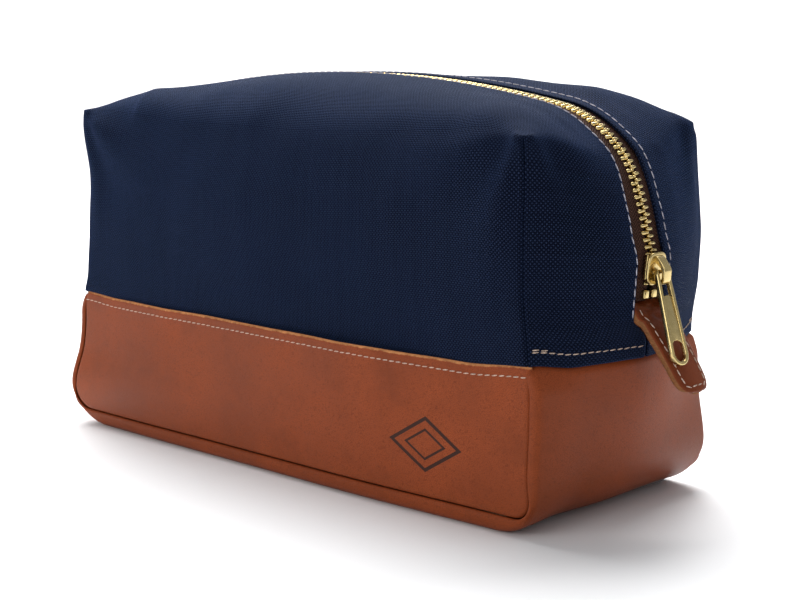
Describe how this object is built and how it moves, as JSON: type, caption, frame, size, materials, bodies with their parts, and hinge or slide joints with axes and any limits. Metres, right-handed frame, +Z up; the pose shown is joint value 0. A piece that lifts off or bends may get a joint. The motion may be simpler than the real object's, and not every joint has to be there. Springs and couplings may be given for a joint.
{
  "type": "shaving kit bag",
  "caption": "Boxy zip-top shaving kit bag with a canvas upper, a leather lower wall and base, leather grip tabs and a brass zip over the crown",
  "frame": {"origin": "centre of the footprint, on the surface the bag stands on", "axes": "+X along the bag towards the zip slider, +Y towards the back, +Z up"},
  "size_m": [0.3156, 0.1016, 0.1525],
  "materials": {
    "canvas": "matte",
    "leather": "satin",
    "lining": "matte",
    "binding": "matte",
    "board": "matte",
    "zip_tape": "matte",
    "brass": "polished"
  },
  "bodies": {
    "bag": {"front_canvas_panel": "canvas", "back_canvas_panel": "canvas", "front_leather_panel": "leather", "back_leather_panel": "leather", "gusset_leather": "leather", "base_board": "board", "lining_front": "lining", "lining_back": "lining", "lining_gusset": "lining", "lining_collar_front": "lining", "lining_collar_back": "lining", "seam_binding_front": "binding", "seam_binding_back": "binding", "slip_pocket": "lining", "zip_tape_end_right": "zip_tape", "zip_tape_end_left": "zip_tape", "zip_teeth_end_right": "brass", "zip_teeth_end_left": "brass", "zip_stops_right": "brass", "zip_stop_left": "brass", "grip_tab_right": "leather", "grip_tab_left": "leather"},
    "front_lip": {"zip_tape_front": "zip_tape", "zip_teeth_front": "brass"},
    "back_lip": {"zip_tape_back": "zip_tape", "zip_teeth_back": "brass"},
    "slider": {"zip_slider": "brass"},
    "pull": {"zip_pull": "brass"}
  },
  "joints": [
    {"name": "slider_travel", "type": "hinge", "parent": "bag", "child": "slider", "pos_m": [0.089, 0, 0.09232], "axis": [0, -1, 0], "range_deg": [0, 74]},
    {"name": "pull_swing", "type": "hinge", "parent": "slider", "child": "pull", "pos_m": [0.14414, 0, 0.08629], "axis": [0, -1, 0], "range_deg": [0, 120]},
    {"name": "front_mouth_swing", "type": "hinge", "parent": "bag", "child": "front_lip", "pos_m": [0, 0, 0.097], "axis": [1, 0, 0], "range_deg": [0, 25], "deforming": ["front_canvas_panel", "lining_collar_front"]},
    {"name": "back_mouth_swing", "type": "hinge", "parent": "bag", "child": "back_lip", "pos_m": [0, 0, 0.097], "axis": [1, 0, 0], "range_deg": [-25, 0], "deforming": ["back_canvas_panel", "lining_collar_back"]}
  ],
  "couplings": [
    {"joint": "back_mouth_swing", "follows": "front_mouth_swing", "ratio": -1}
  ]
}
